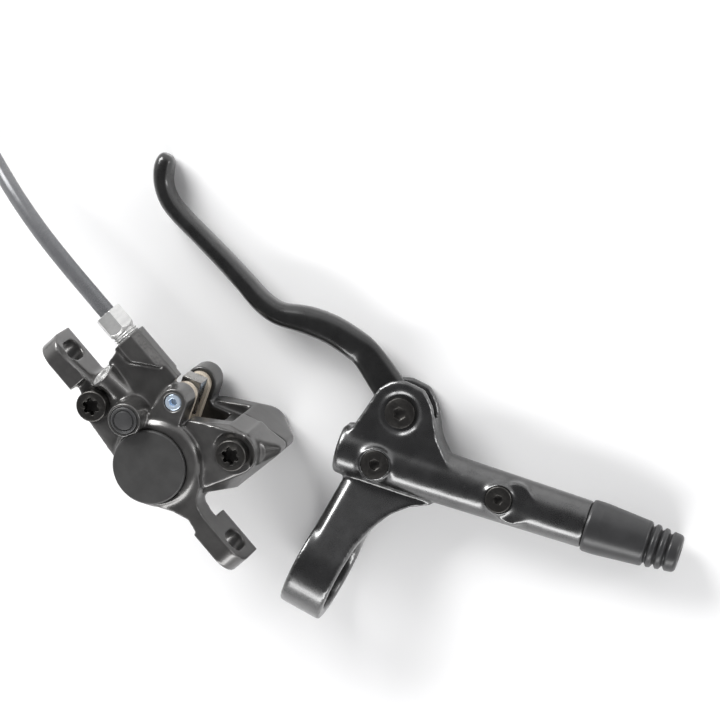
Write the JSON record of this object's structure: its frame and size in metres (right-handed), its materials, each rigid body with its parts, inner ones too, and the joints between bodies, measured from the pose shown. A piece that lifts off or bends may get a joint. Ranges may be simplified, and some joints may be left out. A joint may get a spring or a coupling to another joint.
{
  "type": "hydraulic disc brake",
  "caption": "Post mount hydraulic brake caliper with pads, pistons and hose, and its handlebar brake lever with master cylinder, lying ready to fit.",
  "frame": {"origin": "on the caliper's flat back face, midway between the two ears and on their slot line", "axes": "+Z square to the rotor, from the back of the caliper to its outer side; +X from ear to ear; +Y along the post bolts, away from the rotor's centre"},
  "size_m": [0.3209, 0.1574, 0.044],
  "materials": {
    "cast": "satin graphite paint on cast alloy",
    "cap": "flat dark paint",
    "rubber": "satin black rubber",
    "bright_steel": "satin zinc plate",
    "oxide_steel": "black oxide",
    "nut": "satin",
    "brass": "bright",
    "piston": "moulded resin",
    "plate": "tan plated steel",
    "lining": "pressed resin friction lining",
    "spring": "bright spring steel",
    "chrome": "polished",
    "hose": "gloss dark grey outer",
    "tie": "black strap",
    "stopper": "white plastic",
    "body": "gloss dark grey metal",
    "blade": "satin black paint",
    "alloy": "turned"
  },
  "bodies": {
    "root": {"outboard_housing": "cast", "inboard_housing": "cast", "bore_cap": "cap", "bleed_cap": "rubber", "bleed_nipple": "bright_steel", "body_bolts": "oxide_steel", "passage_plug": "oxide_steel", "passage_seal": "rubber", "hose_nut": "nut", "hose_olive": "brass", "piston_seals": "rubber", "pad_spring": "spring", "pad_pin": "chrome", "pad_pin_clip": "spring", "brake_hose": "hose", "hose_coil": "hose", "hose_tie": "tie", "hose_end_nut": "nut", "hose_end_stopper": "stopper", "master_cylinder_body": "body", "clamp_bolt": "oxide_steel", "pivot_pin": "oxide_steel", "reach_screw": "oxide_steel", "bleed_screw": "oxide_steel", "return_spring": "spring", "outlet_tube": "alloy", "reservoir_bladder": "rubber", "hose_boot": "rubber"},
    "lever": {"lever_blade": "blade", "pivot_bushes": "tie"},
    "master_piston": {"master_piston": "alloy", "piston_cups": "rubber"},
    "outboard_piston": {"outboard_piston": "piston"},
    "inboard_piston": {"inboard_piston": "piston"},
    "outboard_pad": {"outboard_pad_plate": "plate", "outboard_pad_lining": "lining"},
    "inboard_pad": {"inboard_pad_plate": "plate", "inboard_pad_lining": "lining"}
  },
  "joints": [
    {"name": "lever_pivot", "type": "hinge", "parent": "root", "child": "lever", "pos_m": [0.04036, 0.06966, 0.00786], "axis": [-0.0478, 0.1256, 0.9909], "range_deg": [0, 22], "stiffness_Nm_per_rad": 0.4, "springref_deg": -8.59},
    {"name": "master_stroke", "type": "slide", "parent": "root", "child": "master_piston", "axis": [0.8373, 0.5459, -0.0288], "range_m": [0, 0.0065], "deforming": ["return_spring"]},
    {"name": "outboard_piston_stroke", "type": "slide", "parent": "root", "child": "outboard_piston", "axis": [0, 0, -1], "range_m": [0, 0.0017]},
    {"name": "inboard_piston_stroke", "type": "slide", "parent": "root", "child": "inboard_piston", "axis": [0, 0, 1], "range_m": [0, 0.0017]},
    {"name": "outboard_pad_stroke", "type": "slide", "parent": "root", "child": "outboard_pad", "axis": [0, 0, -1], "range_m": [0, 0.0017]},
    {"name": "inboard_pad_stroke", "type": "slide", "parent": "root", "child": "inboard_pad", "axis": [0, 0, 1], "range_m": [0, 0.0017]}
  ],
  "couplings": [
    {"joint": "master_stroke", "follows": "lever_pivot", "m_per_rad": 0.0157},
    {"joint": "outboard_piston_stroke", "follows": "lever_pivot", "m_per_rad": 0.004167},
    {"joint": "inboard_piston_stroke", "follows": "lever_pivot", "m_per_rad": 0.004167},
    {"joint": "outboard_pad_stroke", "follows": "lever_pivot", "m_per_rad": 0.004167},
    {"joint": "inboard_pad_stroke", "follows": "lever_pivot", "m_per_rad": 0.004167}
  ]
}
